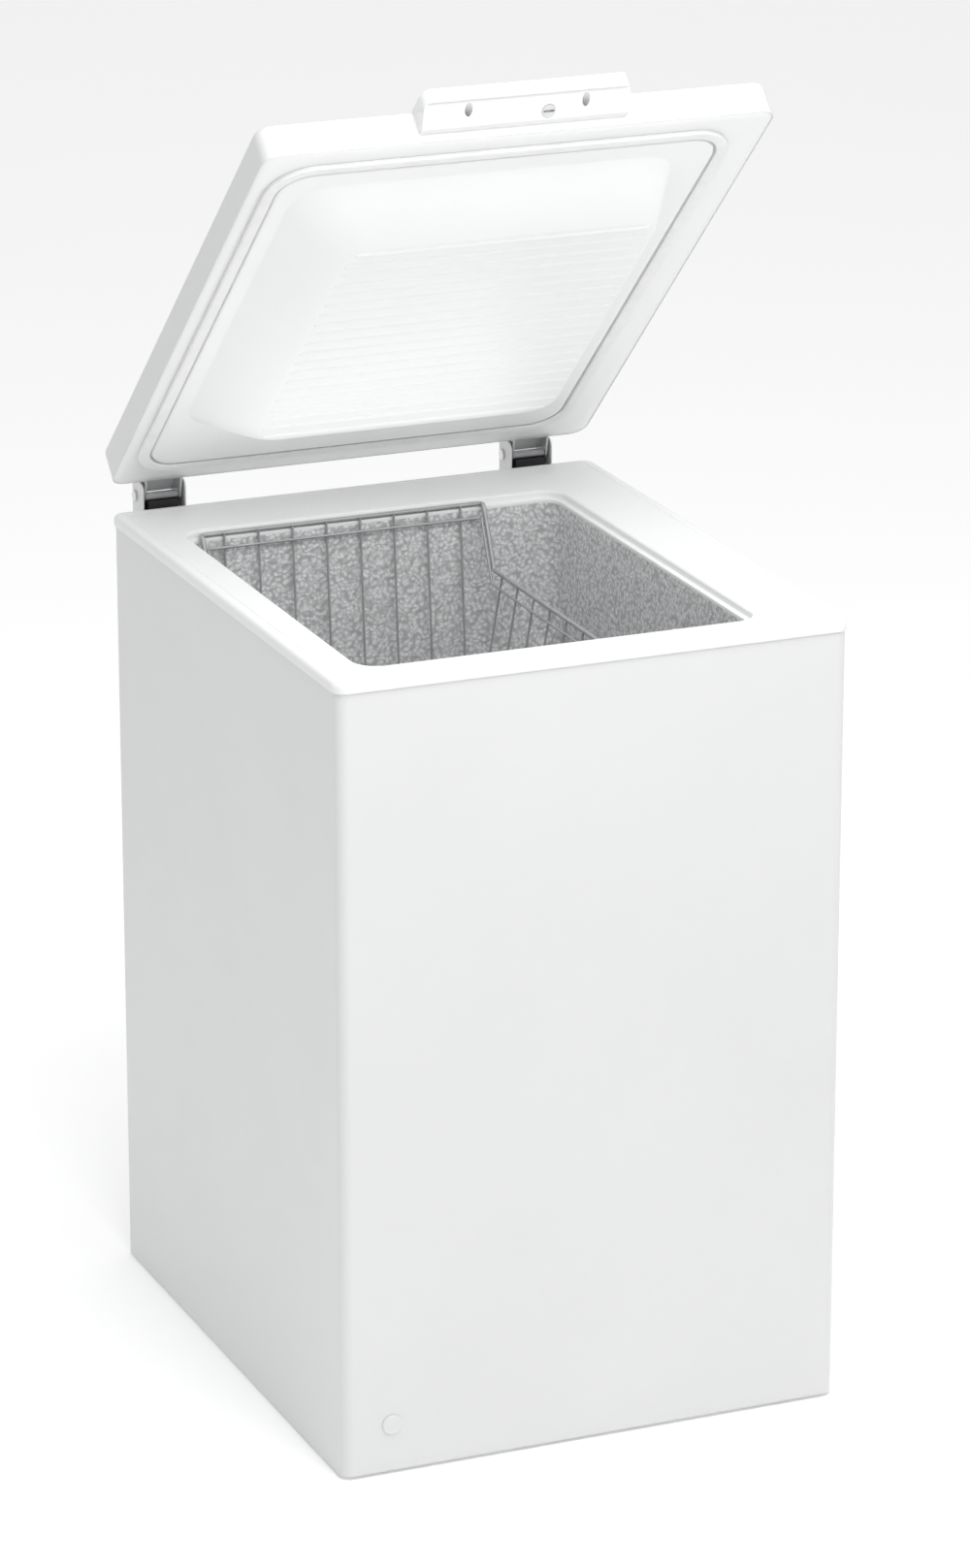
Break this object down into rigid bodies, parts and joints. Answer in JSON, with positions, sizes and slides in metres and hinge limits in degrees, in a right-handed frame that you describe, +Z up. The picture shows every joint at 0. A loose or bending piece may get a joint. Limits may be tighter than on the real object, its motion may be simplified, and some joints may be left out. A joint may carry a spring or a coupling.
{
  "type": "chest freezer",
  "caption": "Compact white chest freezer with its lid propped open on sprung rear hinges, stucco metal lining, hanging wire basket and side service grille",
  "frame": {"origin": "bottom centre of the box round the whole object, on the floor under the feet", "axes": "+Z up, +Y towards the back where the hinges are, +X to the right as seen from the front"},
  "size_m": [0.566, 0.709, 1.4118],
  "materials": {
    "white_steel": "smooth white stove enamel on sheet steel",
    "white_plastic": "white moulded plastic with a soft sheen",
    "lining_metal": "embossed aluminium sheet, rice grain pattern",
    "zinc_steel": "zinc plated steel",
    "foam": "rigid cream foam, out of sight",
    "black_enamel": "semi-gloss black enamel",
    "black_rubber": "matt black rubber",
    "black_plastic": "matt black plastic",
    "grey_plastic": "matt grey plastic",
    "copper_pipe": "bare copper pipe",
    "grey_wire": "grey coated steel wire",
    "seal": "soft white vinyl seal",
    "bright_steel": "polished plated steel",
    "green_lamp": "clear green lens",
    "red_lamp": "clear red lens"
  },
  "bodies": {
    "cabinet": {"alarm_lamp": "red_lamp", "back_panel": "white_steel", "base_pan": "zinc_steel", "bay_bulkhead": "zinc_steel", "body_insulation": "foam", "compressor": "black_enamel", "compressor_bolts": "zinc_steel", "compressor_grommets": "black_rubber", "condenser_coil": "zinc_steel", "control_bezel": "white_plastic", "cord_gland": "black_rubber", "discharge_pipe": "copper_pipe", "drain_pipe": "grey_plastic", "evaporator_coil": "copper_pipe", "filter_drier": "copper_pipe", "foot_front_left": "black_rubber", "foot_front_right": "black_rubber", "foot_rear_left": "black_rubber", "foot_rear_right": "black_rubber", "hinge_channel_left": "white_steel", "hinge_channel_right": "white_steel", "hinge_pin_left": "bright_steel", "hinge_pin_right": "bright_steel", "hinge_screws": "zinc_steel", "hinge_spring_left": "zinc_steel", "hinge_spring_right": "zinc_steel", "inner_liner": "lining_metal", "outer_wrapper": "white_steel", "power_lamp": "green_lamp", "relay_cover": "black_plastic", "service_grille": "white_plastic", "spring_seat_left": "black_plastic", "spring_seat_right": "black_plastic", "suction_pipe": "copper_pipe", "thermostat": "grey_plastic", "top_frame": "white_plastic"},
    "lid": {"lid_outer_shell": "white_steel", "lid_inner_panel": "white_plastic", "lid_insulation": "foam", "lid_gasket": "seal", "lid_handle": "white_plastic", "handle_screws": "zinc_steel", "hinge_arm_left": "zinc_steel", "hinge_arm_right": "zinc_steel", "hinge_roller_left": "grey_plastic", "hinge_roller_right": "grey_plastic", "hinge_arm_screws": "zinc_steel"},
    "lock": {"lock_barrel": "bright_steel"},
    "knob": {"thermostat_knob": "white_plastic"},
    "basket": {"basket_rim": "grey_wire", "basket_second_rim": "grey_wire", "basket_long_wires": "grey_wire", "basket_cross_wires": "grey_wire"},
    "plunger_left": {"hinge_plunger_left": "black_plastic"},
    "plunger_right": {"hinge_plunger_right": "black_plastic"},
    "inner_plug": {"drain_plug": "white_plastic"},
    "outer_cap": {"drain_cap": "white_plastic"}
  },
  "joints": [
    {"name": "lid_hinge", "type": "hinge", "parent": "cabinet", "child": "lid", "pos_m": [0, 0.3445, 0.871], "axis": [-1, 0, 0], "range_deg": [-43.5, 34.5]},
    {"name": "hinge_plunge_left", "type": "slide", "parent": "cabinet", "child": "plunger_left", "axis": [0, 0, 1], "range_m": [-0.009, 0.007], "deforming": ["hinge_spring_left"]},
    {"name": "hinge_plunge_right", "type": "slide", "parent": "cabinet", "child": "plunger_right", "axis": [0, 0, 1], "range_m": [-0.009, 0.007], "deforming": ["hinge_spring_right"]},
    {"name": "lock_turn", "type": "hinge", "parent": "lid", "child": "lock", "pos_m": [0.024, -0.1701, 1.3785], "axis": [0, -0.9708, -0.2399], "range_deg": [0, 90]},
    {"name": "thermostat_turn", "type": "hinge", "parent": "cabinet", "child": "knob", "pos_m": [0.2686, 0.0741, 0.162], "axis": [1, 0, 0], "range_deg": [0, 270]},
    {"name": "basket_slide", "type": "slide", "parent": "cabinet", "child": "basket", "axis": [1, 0, 0], "range_m": [0, 0.072]},
    {"name": "inner_plug_pull", "type": "slide", "parent": "cabinet", "child": "inner_plug", "axis": [0, 0, 1], "range_m": [0, 0.012]},
    {"name": "outer_cap_pull", "type": "slide", "parent": "cabinet", "child": "outer_cap", "axis": [0, -1, 0], "range_m": [0, 0.012]}
  ],
  "couplings": [
    {"joint": "hinge_plunge_left", "follows": "lid_hinge", "m_per_rad": 0.01116},
    {"joint": "hinge_plunge_right", "follows": "lid_hinge", "m_per_rad": 0.01116}
  ]
}
